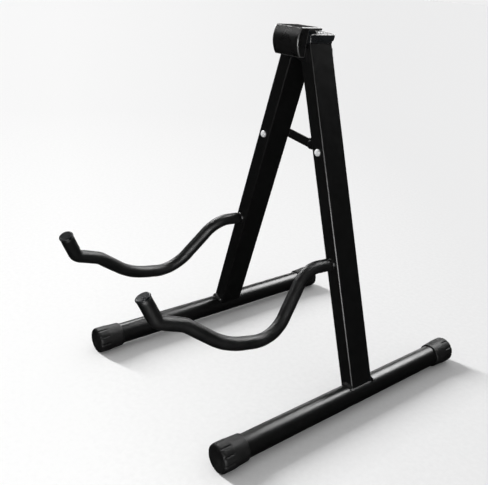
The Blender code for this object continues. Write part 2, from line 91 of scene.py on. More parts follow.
ARM_PATH = (                     # outward, along Y, up from the root, bend radius
    (0.0, -0.0163, -0.0008, 0.0),
    (0.0, -0.0534, 0.0017, 0.0376),
    (0.0, -0.1055, -0.0601, 0.0433),
    (0.0, -0.1631, -0.0487, 0.0826),
    (0.0, -0.2039, -0.0162, 0.0355),
    (0.0, -0.2314, -0.0059, 0.0105),
    (0.0028, -0.2423, 0.0191, 0.0),
)
ARM_ROD_R = 0.0045
FOAM_R = 0.0070
FOAM_START = 0.0035
TIP_DISC_R = 0.0074
TIP_DISC_THICK = 0.0022

# ---- finer detail of the visual pieces ----
PATH_STEP = 0.0016               # spacing of the rings along a foam sleeve
FOLD_PITCH = 0.0029              # spacing of the folds that foam makes inside a bend
FOLD_DEPTH = 0.00050
SLEEVE_UNEVENNESS = 0.00018
FOOT_END_ROUND = 0.0006
GROOVE_WIDTH = 0.085             # of a tip's groove, as a share of the pitch
BEAD_START = -47                 # degrees round the foot tube, from its top
BEAD_END = 37
ROOT_BEAD_RIPPLES = 11
HEAD_HEIGHT = 0.0028
TAIL_HEIGHT = 0.0010
MID_HEAD_HEIGHT = 0.0015
CAP_EDGE = 0.0005                # widths of the rounded edges
BUMPER_EDGE = 0.0013
PLATE_EDGE = 0.00022

# ---- floor and light ----
FLOOR_R = 40.0
# The floor's colour runs from FLOOR_BRIGHT to FLOOR_DIM as a painted light falloff: brighter towards the
# key's side, dimmer far off.
FLOOR_BRIGHT = (0.90, 0.90, 0.898, 1.0)
FLOOR_DIM = (0.75, 0.75, 0.752, 1.0)
# Where the painted light falloff starts, and the way it runs.
PAINTED_FALLOFF_FROM = (0.54, -0.443, 0.0)
PAINTED_FALLOFF_ALONG = (0.682, 0.731, 0.0)
SURROUND_TONE = (0.86, 0.86, 0.86, 1.0)
WORLD_STRENGTH = 0.555
KEY_AZIMUTH = math.radians(197.5)
KEY_ELEVATIONS = (19.5, 25.0, 30.5, 36.0, 41.5)
KEY_ANGLE = math.radians(5.5)
KEY_STRENGTH = 0.71
SOFTBOXES = (                    # name, place, target, width, height, power
    ("rear_softbox", (-0.12, 0.90, 1.05), (0.0, 0.05, 0.10), 0.85, 0.50, 24.0),
    ("rim_strip", (-1.10, 1.10, 0.10), (0.0, 0.0, 0.02), 1.2, 0.14, 3.0),
    ("left_softbox", (-0.80, 0.12, 0.69), (0.08, -0.2, 0.17), 0.28, 0.28, 7.0),
    ("high_left", (-0.85, -0.68, 0.92), (0.0, 0.0, 0.38), 0.30, 0.26, 1.2),
    ("front_strip", (1.15, -0.80, 0.25), (0.02, 0.0, 0.38), 0.9, 0.44, 20.0),
)

# ---- camera ----
CAMERA_PLACE = (0.53942, -0.48746 + SHIFT_Y, 0.44757)
CAMERA_AZIMUTH = math.radians(46.971)
CAMERA_ELEVATION = math.radians(19.891)
CAMERA_ROLL = math.radians(4.766)
CAMERA_LENS = 47.914
CAMERA_SHIFT = (-0.12335, -0.05153)


# ---------------------------------------------------------------- materials

class Finish:
    """A Principled material with helpers that add procedural detail to it."""

    def __init__(self, name, roughness, specular, metallic=0.0):
        self.material = bpy.data.materials.new(name)
        self.material.use_nodes = True
        self.tree = self.material.node_tree
        self.shader = self.tree.nodes["Principled BSDF"]
        self.shader.inputs["Metallic"].default_value = metallic
        self.shader.inputs["Specular IOR Level"].default_value = specular
        self.roughness = roughness
        self.coords = self.tree.nodes.new("ShaderNodeTexCoord").outputs["Object"]
        self.normal = None

    def node(self, kind, **inputs):
        """A new node with values or links for its inputs, whose names have _ for a space."""
        made = self.tree.nodes.new(kind)
        for key, value in inputs.items():
            self.feed(made.inputs[key.replace("_", " ")], value)
        return made

    def feed(self, socket, value):
        """Link a socket to an output, or set it to a constant."""
        if isinstance(value, bpy.types.NodeSocket):
            self.tree.links.new(value, socket)
        else:
            socket.default_value = value

    def stretched(self, scale):
        """Object coordinates scaled differently along each axis, for brushed or drawn surfaces."""
        mapping = self.node("ShaderNodeMapping", Vector=self.coords)
        mapping.inputs["Scale"].default_value = scale
        return mapping.outputs["Vector"]

    def attribute(self, name):
        made = self.tree.nodes.new("ShaderNodeAttribute")
        made.attribute_name = name
        return made.outputs["Fac"]

    def noise(self, scale, detail=3.0, roughness=0.55, vector=None):
        made = self.node("ShaderNodeTexNoise", Vector=vector or self.coords, Scale=scale,
                         Detail=detail, Roughness=roughness)
        return made.outputs["Fac"]

    def cells(self, scale):
        made = self.node("ShaderNodeTexVoronoi", Vector=self.coords, Scale=scale)
        return made.outputs["Distance"]

    def ramp(self, value, low, high, out_low=0.0, out_high=1.0):
        """Map a value from one range to another, held at the ends."""
        made = self.node("ShaderNodeMapRange", Value=value)
        made.inputs["From Min"].default_value = low
        made.inputs["From Max"].default_value = high
        made.inputs["To Min"].default_value = out_low
        made.inputs["To Max"].default_value = out_high
        return made.outputs["Result"]

    def math(self, operation, a, b):
        made = self.tree.nodes.new("ShaderNodeMath")
        made.operation = operation
        self.feed(made.inputs[0], a)
        self.feed(made.inputs[1], b)
        return made.outputs["Value"]

    def vector_math(self, operation, a, b=None, output="Vector"):
        made = self.tree.nodes.new("ShaderNodeVectorMath")
        made.operation = operation
        self.feed(made.inputs[0], a)
        if b:
            self.feed(made.inputs[1], b)
        return made.outputs[output]

    def mix(self, factor, a, b):
        made = self.tree.nodes.new("ShaderNodeMix")
        made.data_type = "RGBA"
        self.feed(made.inputs["Factor"], factor)
        self.feed(made.inputs["A"], a)
        self.feed(made.inputs["B"], b)
        return made.outputs["Result"]

    def colour(self, value):
        self.feed(self.shader.inputs["Base Color"], value)

    def vary_roughness(self, value, spread):
        """Roughness that follows a 0 to 1 value, up to spread either side of the finish's own."""
        low = self.roughness - spread
        high = self.roughness + spread
        self.feed(self.shader.inputs["Roughness"], self.ramp(value, 0.3, 0.7, low, high))

    def bump(self, height, distance, strength=1.0):
        """Add relief over whatever relief the finish already has."""
        made = self.node("ShaderNodeBump", Height=height, Strength=strength, Distance=distance)
        if self.normal:
            self.feed(made.inputs["Normal"], self.normal)
        self.normal = made.outputs["Normal"]
        self.feed(self.shader.inputs["Normal"], self.normal)


def grey(level, tint=0.0):
    """Linear grey that leans towards blue by the tint."""
    return (level, level * (1 + tint * 0.5), level * (1 + tint), 1.0)


def powder_coat(name, level, roughness, specular, peel):
    """Black powder coat: fine orange peel, soft unevenness of gloss, faint handling marks."""
    finish = Finish(name, roughness, specular)
    broad = finish.noise(38.0, 4.0)
    rubbed = finish.ramp(finish.noise(210.0, 6.0, 0.7), 0.60, 0.72, 0.0, 0.35)
    base = finish.mix(broad, grey(level * 0.8, 0.04), grey(level * 1.3, 0.04))
    finish.colour(finish.mix(rubbed, base, grey(level * 2.2)))
    finish.vary_roughness(finish.noise(160.0, 5.0), 0.04)
    finish.bump(finish.noise(1300.0, 2.0), 0.00006 * peel, 0.35)
    finish.bump(broad, 0.0003, 0.10)
    return finish.material


def weld_finish():
    """Painted weld: the ripples of the bead under a satin coat."""
    finish = Finish("painted_weld", 0.36, 0.4)
    ripples = finish.noise(650.0, 3.0)
    finish.colour(finish.mix(ripples, grey(0.005), grey(0.010)))
    finish.vary_roughness(finish.noise(900.0), 0.08)
    finish.bump(ripples, 0.0005, 0.45)
    return finish.material


def foam_finish():
    """Closed-cell foam: pores, a paler tone in its folds, and scuffs where it is rubbed."""
    finish = Finish("black_foam", 0.42, 0.48)
    pores = finish.cells(2300.0)
    fine = finish.noise(3200.0, 2.0)
    scuff = finish.noise(55.0, 5.0, 0.65)
    worn = finish.ramp(scuff, 0.52, 0.72, 0.0, 0.5)
    base = finish.mix(finish.ramp(pores, 0.1, 0.6), grey(0.0028, 0.1), grey(0.0055, 0.1))
    creased = finish.ramp(finish.attribute("fold"), 0.1, 0.9, 0.0, 0.35)
    tone = finish.mix(worn, base, grey(0.008, 0.12))
    finish.colour(finish.mix(creased, tone, grey(0.016, 0.05)))
    finish.vary_roughness(scuff, 0.09)
    finish.bump(pores, 0.00014, 0.6)
    finish.bump(fine, 0.00010, 0.5)
    finish.bump(finish.noise(240.0, 4.0), 0.00030, 0.5)
    return finish.material


def rubber_finish(name, level, roughness, specular, grain):
    """Moulded rubber: fine mould grain with faint bloom and rubbed patches."""
    finish = Finish(name, roughness, specular)
    bloom = finish.noise(90.0, 5.0, 0.6)
    mould = finish.noise(2600.0, 2.0)
    streaks = finish.noise(30.0, 4.0, vector=finish.stretched((22.0, 1.0, 22.0)))
    base = finish.mix(finish.ramp(bloom, 0.35, 0.7), grey(level * 0.75), grey(level * 1.5))
    finish.colour(finish.mix(finish.ramp(streaks, 0.55, 0.75, 0.0, 0.3), base, grey(level * 1.8)))
    finish.vary_roughness(bloom, 0.08)
    finish.bump(mould, 0.00012 * grain, 0.7)
    finish.bump(bloom, 0.0004, 0.25)
    return finish.material


def plastic_finish():
    """Injection-moulded plastic with a spark-eroded grain, bluish black."""
    finish = Finish("black_plastic", 0.30, 0.40)
    grain = finish.noise(3000.0, 2.0)
    broad = finish.noise(120.0, 4.0)
    finish.colour(finish.mix(broad, grey(0.006, 0.35), grey(0.012, 0.35)))
    finish.vary_roughness(broad, 0.07)
    finish.bump(grain, 0.00008, 0.7)
    return finish.material


def steel_finish(name, level, roughness, metallic, tint):
    """Plated steel: drawn streaks, slight tarnish, fine scratches."""
    finish = Finish(name, roughness, 0.5, metallic=metallic)
    streaks = finish.noise(120.0, 4.0, vector=finish.stretched((1.0, 1.0, 14.0)))
    tarnish = finish.noise(420.0, 4.0)
    base = finish.mix(finish.ramp(tarnish, 0.35, 0.7), grey(level, tint), grey(level * 0.72, tint))
    finish.colour(base)
    finish.vary_roughness(streaks, 0.08)
    finish.bump(streaks, 0.00006, 0.5)
    finish.bump(tarnish, 0.00008, 0.5)
    return finish.material


FINISHES = {
    "black_paint": powder_coat("black_paint", 0.0040, 0.33, 0.50, 1.0),
    "black_steel": powder_coat("black_steel", 0.0045, 0.38, 0.40, 1.6),
    "weld": weld_finish(),
    "black_foam": foam_finish(),
    "foot_rubber": rubber_finish("foot_rubber", 0.0070, 0.50, 0.32, 1.0),
    "bumper_rubber": rubber_finish("bumper_rubber", 0.0055, 0.30, 0.34, 0.7),
    # The next two finishes are much lighter and glossier than the pad and the caps: they go on the
    # rounded edges as painted highlights.
    "edge_highlight_rubber": rubber_finish("edge_highlight_rubber", 0.040, 0.34, 1.0, 0.5),
    "edge_highlight_plastic": rubber_finish("edge_highlight_plastic", 0.030, 0.30, 1.0, 0.5),
    "black_plastic": plastic_finish(),
    "zinc_steel": steel_finish("zinc_steel", 0.86, 0.36, 0.12, 0.02),
}


# ---------------------------------------------------------------- geometry helpers

def build_mesh(name, rings, caps=True, smooth_angle=40.0, attributes=None):
    """Skin a list of equal rings with quads, smooth shaded up to an angle."""
    shape = bmesh.new()
    loops = [[shape.verts.new(point) for point in ring] for ring in rings]
    count = len(loops[0])
    for low, high in zip(loops, loops[1:]):
        for i in range(count):
            j = (i + 1) % count
            shape.faces.new((low[i], low[j], high[j], high[i]))
    if caps:
        shape.faces.new(loops[0])
        shape.faces.new(loops[-1])
    bmesh.ops.recalc_face_normals(shape, faces=shape.faces)
    mesh = bpy.data.meshes.new(name)
    shape.to_mesh(mesh)
    shape.free()
    for key, values in (attributes or {}).items():
        layer = mesh.attributes.new(key, "FLOAT", "POINT")
        layer.data.foreach_set("value", values)
    mesh.shade_smooth()
    mesh.set_sharp_from_angle(angle=math.radians(smooth_angle))
    return mesh


def piece(name, mesh, body, finish, replaced, matrix=None, bevel=0.0, segments=3, angle=30.0,
          painted_edge_finish=None):
    """Place a visual piece, round its edges, and let it stand for CAD nodes; a second finish given for
    the rounded edges paints a highlight along them.
    """
    if matrix:
        mesh.transform(matrix)
    obj = bpy.data.objects.new(name, mesh)
    bpy.context.collection.objects.link(obj)
    mesh.materials.append(FINISHES[finish])
    soften(obj, bevel, segments, angle)
    # The rounded edges take the lighter finish: a painted highlight along them.
    if painted_edge_finish:
        mesh.materials.append(FINISHES[painted_edge_finish])
        obj.modifiers["edge_rounding"].material = 1
    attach(obj, body)
    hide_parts(*replaced)
    return obj


def soften(obj, width, segments=3, angle=30.0):
    """Rounded edges, with normals that keep the flat faces flat."""
    if width:
        rounding = obj.modifiers.new("edge_rounding", "BEVEL")
        rounding.width = width
        rounding.segments = segments
        rounding.limit_method = "ANGLE"
        rounding.angle_limit = math.radians(angle)
        rounding.miter_outer = "MITER_ARC"
    weighted = obj.modifiers.new("flat_faces", "WEIGHTED_NORMAL")
    weighted.keep_sharp = True
    weighted.weight = 80


def circle(radius, count):
    steps = [2 * math.pi * i / count for i in range(count)]
    return [(radius * math.cos(a), radius * math.sin(a)) for a in steps]


def arc(centre, radius, start, end, count):
    angles = [math.radians(start + (end - start) * i / count) for i in range(count + 1)]
    return [(centre[0] + radius * math.cos(a), centre[1] + radius * math.sin(a)) for a in angles]


def rounded_rect(half_x, half_y, radius, steps):
    points = []
    for k, (sx, sy) in enumerate(((1, 1), (-1, 1), (-1, -1), (1, -1))):
        middle = (sx * (half_x - radius), sy * (half_y - radius))
        points += arc(middle, radius, 90 * k, 90 * (k + 1), steps)
    return points


def lathe(profile, count=48, centre=(0.0, 0.0)):
    """Rings about a Y axis from (y, radius) pairs."""
    return [[(centre[0] + x, y, centre[1] + z) for x, z in circle(radius, count)]
            for y, radius in profile]


def leg_s(z):
    """Length along a leg, from the foot's axis, at a height above the floor."""
    return (z - FOOT_Z) / math.cos(LEG_TILT)


def middle_matrix():
    """Place of what is drawn upright about the stand's middle."""
    return Matrix.Translation((0.0, SHIFT_Y, 0.0))


def leg_matrix(side):
    """Place of a leg, whose own Z runs up it from the foot's axis."""
    foot = Matrix.Translation((side * FOOT_X, SHIFT_Y, FOOT_Z))
    return foot @ Matrix.Rotation(-side * LEG_TILT, 4, "Y")


def arm_matrix(side):
    """Place of an arm, bent in its own YZ plane but for the outward lean of its tip."""
    turn = Matrix.Rotation(side * (LEG_TILT - ARM_TILT), 4, "Y")
    return leg_matrix(side) @ Matrix.Translation((0.0, 0.0, ARM_ROOT_S)) @ turn


# ---------------------------------------------------------------- feet

def build_foot(side, label, body):
    """Foot tube with its two ribbed rubber tips and the beads that hold the leg."""
    centre = (side * FOOT_X, FOOT_Z)
    front = FOOT_FRONT_Y + TIP_END_WALL + GAP
    rear = FOOT_REAR_Y - TIP_END_WALL - GAP
    steps = 24
    profile = [(front, FOOT_R - FOOT_END_ROUND), (front + FOOT_END_ROUND, FOOT_R)]
    profile += [(front + (rear - front) * k / steps, FOOT_R) for k in range(1, steps)]
    profile += [(rear - FOOT_END_ROUND, FOOT_R), (rear, FOOT_R - FOOT_END_ROUND)]
    mesh = build_mesh(f"{label}_foot", lathe(profile, 72, centre))
    foot = piece(f"{label}_foot", mesh, body, "black_paint", [f"{label}_foot_tube"],
                 middle_matrix())
    shapes = [foot]
    for word, end, inward in (("front", FOOT_FRONT_Y, 1), ("rear", FOOT_REAR_Y, -1)):
        tip = build_mesh(f"{label}_{word}_tip", tip_rings(centre, end, inward))
        shapes.append(piece(f"{label}_{word}_tip", tip, body, "foot_rubber",
                            [f"{label}_{word}_foot_tip"], middle_matrix()))
        bead = build_mesh(f"{label}_{word}_leg_bead", bead_rings(side, -inward, centre), smooth_angle=60)
        piece(f"{label}_{word}_leg_bead", bead, body, "weld",
              [f"{label}_{word}_leg_weld"], middle_matrix())
    return shapes


def tip_rings(centre, end, inward):
    """Rubber cup: rounded end, ribs round its outer part, a stepped collar, flat underneath."""
    count = 120
    rib = 2 * math.pi / TIP_GROOVES

    def groove_at(angle):
        phase = (angle / rib) % 1.0
        return math.exp(-((phase - 0.5) / GROOVE_WIDTH) ** 2)

    def ring(depth, radius, groove):
        points = []
        for i in range(count):
            angle = 2 * math.pi * i / count
            r = radius - groove * groove_at(angle)
            z = max(FOOT_Z + r * math.sin(angle - math.pi / 2), 0.0)
            points.append((centre[0] + r * math.cos(angle - math.pi / 2), end + inward * depth, z))
        return points

    bore = FOOT_R + GAP
    deep = TIP_GROOVE_DEPTH
    rim = TIP_RIM_R
    profile = [
        (TIP_END_WALL, bore, 0.0),
        (TIP_LENGTH - 0.0004, bore, 0.0),
        (TIP_LENGTH, bore + 0.0004, 0.0),
        (TIP_LENGTH, rim - 0.0003, 0.0),
        (TIP_LENGTH - 0.0002, rim, 0.0),
        (TIP_LENGTH - 0.0008, rim + 0.0003, 0.0),
        (TIP_LENGTH - 0.0030, rim + 0.0004, 0.0),
        (TIP_GROOVE_LENGTH + 0.0040, TIP_R - 0.0004, 0.0),
        (TIP_GROOVE_LENGTH + 0.0020, TIP_R - 0.0001, 0.0),
        (TIP_GROOVE_LENGTH + 0.0006, TIP_R, deep * 0.2),
        (TIP_GROOVE_LENGTH - 0.0004, TIP_R, deep * 0.8),
        (TIP_GROOVE_LENGTH - 0.0016, TIP_R, deep),
        (0.0040, TIP_R, deep),
        (0.0024, TIP_R - 0.0001, deep),
        (0.0014, TIP_R - 0.0004, deep * 0.9),
        (0.0007, TIP_R - 0.0009, deep * 0.6),
        (0.0002, TIP_R - 0.0017, deep * 0.25),
        (0.0, TIP_R - 0.0026, 0.0),
        (0.0002, TIP_R - 0.0046, 0.0),
        (0.0004, 0.0030, 0.0),
    ]
    return [ring(*row) for row in profile]


def bead_rings(side, facing, centre):
    """Fillet weld bead with ripples, over the top of the foot tube at a narrow face of the leg."""
    face = facing * HALF_W
    section = [(0.0, 0.0), (0.0028, 0.0), (0.0025, 0.0007)]
    section += [(0.0018, 0.0014), (0.0009, 0.0021), (0.0, 0.0026)]
    steps = 56
    rings = []
    for k in range(steps + 1):
        t = k / steps
        angle = math.radians(BEAD_START + (BEAD_END - BEAD_START) * t)
        ends = min(1.0, 5.0 * min(t, 1 - t) + 0.35)
        ripple = 0.10 * abs(math.sin(13 * math.pi * t))
        ripple += 0.10 * noise.noise(Vector((9 * t, facing, side)))
        size = (0.98 + ripple) * ends
        ring = []
        for out, up in section:
            radius = FOOT_R - 0.0001 + up * size
            ring.append((centre[0] + side * radius * math.sin(angle), face + facing * out * size,
                         centre[1] + radius * math.cos(angle)))
        rings.append(ring)
    return rings


# ---------------------------------------------------------------- legs

def build_leg(side, label, body):
    """Rectangular tube with rounded corners, coped over the foot tube."""
    outline = rounded_rect(HALF_T, HALF_W, LEG_CORNER_R, 7)
    rings = [[(x, y, math.sqrt(FOOT_R ** 2 - x ** 2) + 0.0001) for x, y in outline]]
    first = FOOT_R + 0.0025
    steps = 16
    for k in range(steps + 1):
        s = first + (LEG_TOP_S - first) * k / steps
        rings.append([(x, y, s) for x, y in outline])
    mesh = build_mesh(f"{label}_leg", rings)
    piece(f"{label}_leg", mesh, body, "black_paint", [f"{label}_leg_tube"],
          leg_matrix(side))
    cap = build_mesh(f"{label}_cap", cap_rings(side))
    # The cap's rounded edges get a lighter finish: a painted highlight.
    piece(f"{label}_cap", cap, body, "black_plastic", [f"{label}_leg_cap"],
          leg_matrix(side), CAP_EDGE, 3, 24, "edge_highlight_plastic")


def cap_rings(side):
    """Moulded cap: a band that flares to the back and the outside, and a low dome."""
    slope = math.tan(LEG_TILT)
    top = leg_s(LEG_CAP_TOP_Z)
    base = LEG_TOP_S + GAP
    inside = -HALF_T + 0.0002

    def ring(low_x, high_x, low_y, high_y, radius, s, level):
        mid_x = (high_x + low_x) / 2
        mid_y = (high_y + low_y) / 2
        outline = rounded_rect((high_x - low_x) / 2, (high_y - low_y) / 2, radius, 6)
        return [(side * (mid_x + x), mid_y + y, s - (mid_x + x) * slope * level) for x, y in outline]

    return [
        ring(inside + 0.0008, HALF_T - 0.0002, FRONT + 0.0008, REAR - 0.0002, 0.0012, base, 0),
        ring(inside, HALF_T + 0.0003, FRONT, REAR + 0.0004, 0.0021, base, 0),
        ring(inside, HALF_T + 0.0005, FRONT, REAR + 0.0011, 0.0021, base + 0.0026, 0.3),
        ring(inside + 0.0007, HALF_T + 0.0011, FRONT + 0.0001, REAR + 0.0030, 0.0020, base + 0.0050, 0.7),
        ring(inside + 0.0014, HALF_T + 0.0018, FRONT + 0.0002, REAR + 0.0054, 0.0019, top - 0.0010, 1),
        ring(inside + 0.0022, HALF_T + 0.0013, FRONT + 0.0006, REAR + 0.0050, 0.0018, top, 1),
        ring(inside + 0.0048, HALF_T - 0.0014, FRONT + 0.0030, REAR + 0.0020, 0.0026, top + 0.0009, 1),
        ring(-HALF_T * 0.45, HALF_T * 0.66, FRONT * 0.68, REAR * 0.84, 0.0030, top + 0.0018, 1),
        ring(-HALF_T * 0.28, HALF_T * 0.46, FRONT * 0.46, REAR * 0.58, 0.0024, top + 0.0024, 1),
        ring(-HALF_T * 0.08, HALF_T * 0.22, FRONT * 0.18, REAR * 0.26, 0.0010, top + LEG_CAP_DOME, 1),
    ]


# ---------------------------------------------------------------- arms

def filleted_path(corners):
    """Evenly spaced points along straight runs joined by round bends."""
    points = [Vector(corners[0][:3])]
    for before, here, after in zip(corners, corners[1:], corners[2:]):
        corner = Vector(here[:3])
        back = Vector(before[:3]) - corner
        ahead = Vector(after[:3]) - corner
        inside = back.angle(ahead)
        reach = min(here[3] / math.tan(inside / 2), back.length * 0.49, ahead.length * 0.49)
        radius = reach * math.tan(inside / 2)
        start = corner + back.normalized() * reach
        end = corner + ahead.normalized() * reach
        middle = corner + (back.normalized() + ahead.normalized()).normalized() * (
            radius / math.sin(inside / 2))
        turn = math.pi - inside
        around = (start - middle).cross(end - middle).normalized()
        steps = max(4, round(turn * radius / PATH_STEP))
        for k in range(steps + 1):
            points.append(middle + Matrix.Rotation(turn * k / steps, 3, around) @ (start - middle))
    points.append(Vector(corners[-1][:3]))
    filled = [points[0]]
    for point in points[1:]:
        gap = (point - filled[-1]).length
        extra = max(1, round(gap / PATH_STEP))
        begin = filled[-1].copy()
        filled += [begin.lerp(point, k / extra) for k in range(1, extra + 1)]
    return filled


def bend_at(points, i, reach=4):
    """Direction towards the inside of the bend at a point, as long as the curvature."""
    a = points[max(i - reach, 0)]
    b = points[i]
    c = points[min(i + reach, len(points) - 1)]
    span = (c - a).length / 2
    return (a + c - b * 2) / max(span * span, 1e-9)


def square_frame(along):
    """Two directions square to a path, the first of them as near the X axis as it can be."""
    normal = along.normalized()
    wide = Vector((1.0, 0.0, 0.0))
    wide = (wide - normal * wide.dot(normal)).normalized()
    return wide, normal.cross(wide)


def build_arm(side, label, body):
    path = filleted_path([(side * out, *rest) for out, *rest in ARM_PATH])
    matrix = arm_matrix(side)
    build_sleeve(side, label, body, path, matrix)
    build_root(label, body, path, matrix)
    build_plug(label, body, path, matrix)


def build_sleeve(side, label, body, path, matrix):
    """Foam sleeve: slightly uneven, folded on the inside of its bends, rounded at its ends."""
    count = 44
    start = path[0] + (path[1] - path[0]).normalized() * FOAM_START
    points = [start] + [p for p in path if p.y < start.y - 0.0008]
    rings, folds = [], []
    travelled = 0.0
    last = len(points) - 1
    for i, point in enumerate(points):
        before = points[max(i - 1, 0)]
        after = points[min(i + 1, last)]
        travelled += (point - before).length
        wide, high = square_frame(after - before)
        bend = bend_at(points, i)
        tight = min(1.0, max(0.0, bend.length * FOAM_R - 0.10) / 0.10)
        inner = bend.normalized() if bend.length > 1e-6 else high
        wobble = 0.9 * noise.noise(Vector((travelled * 150, side * 3.0, 0.0)))
        wave = 0.5 + 0.5 * math.cos(2 * math.pi * travelled / FOLD_PITCH + wobble * 3.0)
        end_round = min(1.0, (i + 0.35) / 2.2, (last - i + 1.2) / 2.2)
        ring = []
        for a, b in circle(1.0, count):
            spoke = wide * a + high * b
            facing = max(0.0, spoke.dot(inner) - 0.15) / 0.85
            uneven = noise.noise(point * 95 + spoke * 1.3 + Vector((side * 7.0, 0, 0)))
            fold = tight * facing ** 1.4 * wave * (0.75 + 0.5 * noise.noise(point * 420))
            radius = FOAM_R + SLEEVE_UNEVENNESS * uneven - FOLD_DEPTH * fold
            radius = ARM_ROD_R + (radius - ARM_ROD_R) * math.sqrt(end_round)
            ring.append(point + spoke * radius)
            folds.append(fold)
        rings.append(ring)
    wide, high = square_frame(points[-1] - points[-2])
    rings.append([points[-1] + wide * a + high * b for a, b in circle(ARM_ROD_R + 0.0001, count)])
    folds += [0.0] * count
    mesh = build_mesh(f"{label}_sleeve", rings, smooth_angle=60, attributes={"fold": folds})
    sleeve = piece(f"{label}_sleeve", mesh, body, "black_foam",
                   [f"{label}_arm_foam", f"{label}_arm_tube"], matrix)


def build_root(label, body, path, matrix):
    """Bare end of the arm's tube and the ring of weld that holds it on the leg."""
    along = (path[1] - path[0]).normalized()
    wide, high = square_frame(along)
    stub = []
    for offset in (-0.0002, 0.001, 0.0025, 0.005):
        centre = path[0] + along * offset
        stub.append([centre + wide * a + high * b for a, b in circle(ARM_ROD_R, 40)])
    mesh = build_mesh(f"{label}_arm_stub", stub)
    piece(f"{label}_arm_stub", mesh, body, "black_paint", [f"{label}_arm_tube"],
          matrix)
    section = [(0.0, 0.0067), (0.0008, 0.0066), (0.0017, 0.0062), (0.0024, 0.0056), (0.0029, 0.0048)]
    rings = []
    count = 72
    for out, radius in section:
        ring = []
        for k, (a, b) in enumerate(circle(1.0, count)):
            wave = abs(math.sin(math.pi * k * ROOT_BEAD_RIPPLES / count))
            ripple = 0.00022 * wave * (radius > 0.005)
            y = FRONT - out
            centre_z = path[0].z + (y - path[0].y) * along.z / along.y
            ring.append((a * (radius + ripple), y, centre_z + b * (radius + ripple)))
        rings.append(ring)
    mesh = build_mesh(f"{label}_root_bead", rings, smooth_angle=60)
    piece(f"{label}_root_bead", mesh, body, "weld", [f"{label}_arm_weld"], matrix)


def build_plug(label, body, path, matrix):
    """Disc plug in the arm's end: crowned face with a rolled rim."""
    along = (path[-1] - path[-2]).normalized()
    wide, high = square_frame(along)
    thick = TIP_DISC_THICK
    full = TIP_DISC_R
    profile = [
        (0.0001, full - 0.0012), (0.0001, full - 0.0004), (0.0004, full), (thick - 0.0009, full),
        (thick - 0.0004, full - 0.00015), (thick - 0.0001, full - 0.0005), (thick, full - 0.0010),
        (thick - 0.00005, full - 0.0016), (thick - 0.0002, full - 0.0021), (thick - 0.0002, 0.0012),
    ]
    rings = []
    for offset, radius in profile:
        centre = path[-1] + along * offset
        rings.append([centre + wide * a + high * b for a, b in circle(radius, 56)])
    mesh = build_mesh(f"{label}_plug", rings)
    piece(f"{label}_plug", mesh, body, "black_plastic", [f"{label}_arm_plug"],
          matrix)


# ---------------------------------------------------------------- hinge and brace

def build_bumper(body):
    """Rubber pad with a bulging front and a lid that reaches back over the caps."""
    middle = (BUMPER_BOTTOM_Z + BUMPER_TOP_Z) / 2
    half = (BUMPER_TOP_Z - BUMPER_BOTTOM_Z) / 2
    lid_low = BUMPER_TOP_Z - BUMPER_LID_THICK
    steps = 26
    outline = []
    for k in range(steps + 1):
        z = BUMPER_BOTTOM_Z + 2 * half * k / steps
        outline.append((BUMPER_EDGE_Y - BUMPER_BULGE * (1 - ((z - middle) / half) ** 2), z))
    outline += [(BUMPER_LID_REAR_Y, BUMPER_TOP_Z), (BUMPER_LID_REAR_Y, lid_low)]
    outline += [(BUMPER_BACK[0][0], lid_low), *BUMPER_BACK]
    widths = [BUMPER_HALF_WIDTH * (-1 + k / 4) for k in range(9)]
    rings = [[(x, y, z) for y, z in outline] for x in widths]
    mesh = build_mesh("bumper", rings)
    # The pad's rounded edges get a lighter finish: a painted highlight.
    piece("bumper", mesh, body, "bumper_rubber", ["hinge_bumper"], middle_matrix(),
          BUMPER_EDGE, 4, 40, "edge_highlight_rubber")


def dome(face, facing, radius, height):
    """(y, radius) pairs of a low domed head, from the rim of its flat underside outwards."""
    rows = [(face, radius), (face + facing * height * 0.18, radius)]
    for k in range(1, 8):
        a = math.radians(90 * k / 8)
        rows.append((face + facing * height * (0.18 + 0.82 * math.sin(a)), radius * math.cos(a)))
    return rows


def build_pivots():
    """Rivet heads of the brace: domed in front of each leg, low behind, and the middle joint."""
    right_rear = REAR + GAP + BRACE_THICK
    left_front = right_rear + GAP
    left_rear = left_front + BRACE_THICK
    for side, label, rear in ((-1, "left", left_rear), (1, "right", right_rear)):
        front_rows = dome(FRONT, -1, PIVOT_HEAD_R, HEAD_HEIGHT)[::-1]
        tail_rows = dome(rear + GAP, 1, PIVOT_TAIL_R, TAIL_HEIGHT)
        shank = [(FRONT, SHANK_R), (rear + GAP, SHANK_R)]
        rings = lathe(front_rows + shank + tail_rows, 48, (0.0, leg_s(PIVOT_Z)))
        mesh = build_mesh(f"{label}_pivot", rings)
        piece(f"{label}_pivot", mesh, f"{label}_frame", "zinc_steel",
              [f"{label}_brace_pivot"], leg_matrix(side))
    middle = (0.0, BRACE_MID_Z)
    for label, face, facing, inner in (("left", left_rear + GAP, 1, left_front),
                                       ("right", REAR, -1, right_rear)):
        rows = [(inner, SHANK_R), (face, SHANK_R)] + dome(face, facing, MID_HEAD_R, MID_HEAD_HEIGHT)
        mesh = build_mesh(f"{label}_mid_rivet", lathe(rows, 48, middle))
        piece(f"{label}_mid_rivet", mesh, f"{label}_brace", "black_steel",
              [f"{label}_brace_rivet"], middle_matrix())


def dress_frame_nodes(nodes):
    """CAD nodes that stay in view get rounded edges and the finish of their slot."""
    slots = {row["node"]: row["material_slot"] for row in frame["record"]["subparts"]}
    for name, obj in nodes.items():
        if obj.hide_render:
            continue
        obj.data.materials.clear()
        obj.data.materials.append(FINISHES[slots[name]])
        welded = obj.modifiers.new("joined_edges", "WELD")
        welded.merge_threshold = 0.00001
        soften(obj, PLATE_EDGE, 2, 35)


# ---------------------------------------------------------------- stage

